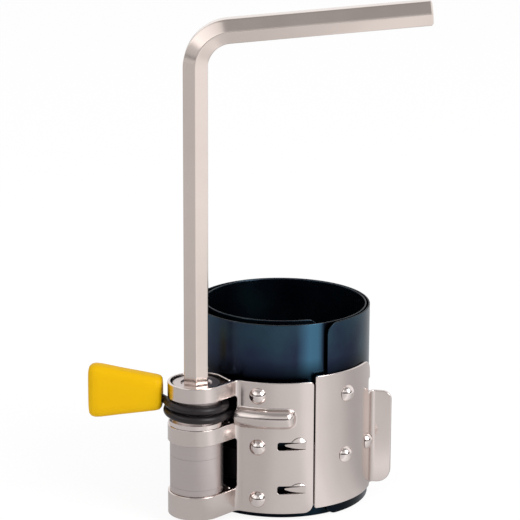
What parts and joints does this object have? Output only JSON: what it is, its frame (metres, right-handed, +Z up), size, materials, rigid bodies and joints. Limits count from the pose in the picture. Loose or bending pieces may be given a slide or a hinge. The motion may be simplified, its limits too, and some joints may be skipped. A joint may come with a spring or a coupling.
{
  "type": "piston ring compressor",
  "caption": "Wound spring-steel sleeve that squeezes piston rings, drawn tight by a strap on a keyed spindle and held by a wrap spring with a release grip.",
  "frame": {"origin": "axis of the sleeve's innermost turn, at its bottom edge", "axes": "+Z up along the sleeve's axis, -Y towards the plates at the front, +X to the thumb flange"},
  "size_m": [0.1125, 0.0706, 0.1761],
  "materials": {
    "blued_spring_steel": "blued, satin",
    "nickel_plated_sheet": "satin nickel plate",
    "rivet_steel": "bright",
    "strap_steel": "ground",
    "turned_steel": "turned",
    "black_spring_wire": "black phosphated",
    "yellow_plastic": "moulded satin",
    "nickel_plated_key": "satin nickel plate"
  },
  "bodies": {
    "bracket": {"bracket_plate": "nickel_plated_sheet", "sleeve_band": "blued_spring_steel", "bracket_rivet_upper": "rivet_steel", "bracket_rivet_middle": "rivet_steel", "bracket_rivet_lower": "rivet_steel", "thrust_washer": "rivet_steel"},
    "clamp": {"clamp_plate": "nickel_plated_sheet", "clamp_rivet_upper": "rivet_steel", "clamp_rivet_lower": "rivet_steel", "clamp_rivet_edge": "rivet_steel", "tension_strap": "strap_steel"},
    "spindle": {"spindle": "turned_steel", "strap_roll": "strap_steel"},
    "release": {"wrap_spring": "black_spring_wire", "release_grip": "yellow_plastic"},
    "key": {"hex_key": "nickel_plated_key"}
  },
  "joints": [
    {"name": "spindle_turn", "type": "hinge", "parent": "bracket", "child": "spindle", "pos_m": [-0.02803, -0.03233, 0], "axis": [0, 0, 1], "range_deg": [-75, 0]},
    {"name": "band_slide", "type": "hinge", "parent": "bracket", "child": "clamp", "pos_m": [0, -0.0031, 0], "axis": [0, 0, 1], "range_deg": [0, 22.5], "deforming": ["sleeve_band", "tension_strap"]},
    {"name": "release_press", "type": "hinge", "parent": "bracket", "child": "release", "pos_m": [-0.02803, -0.03233, 0], "axis": [0, 0, 1], "range_deg": [0, 12], "stiffness_Nm_per_rad": 0.6, "deforming": ["wrap_spring"]},
    {"name": "key_lift", "type": "slide", "parent": "spindle", "child": "key", "axis": [0, 0, 1], "range_m": [0, 0.03]}
  ],
  "couplings": [
    {"joint": "band_slide", "follows": "spindle_turn", "ratio": -0.3}
  ]
}
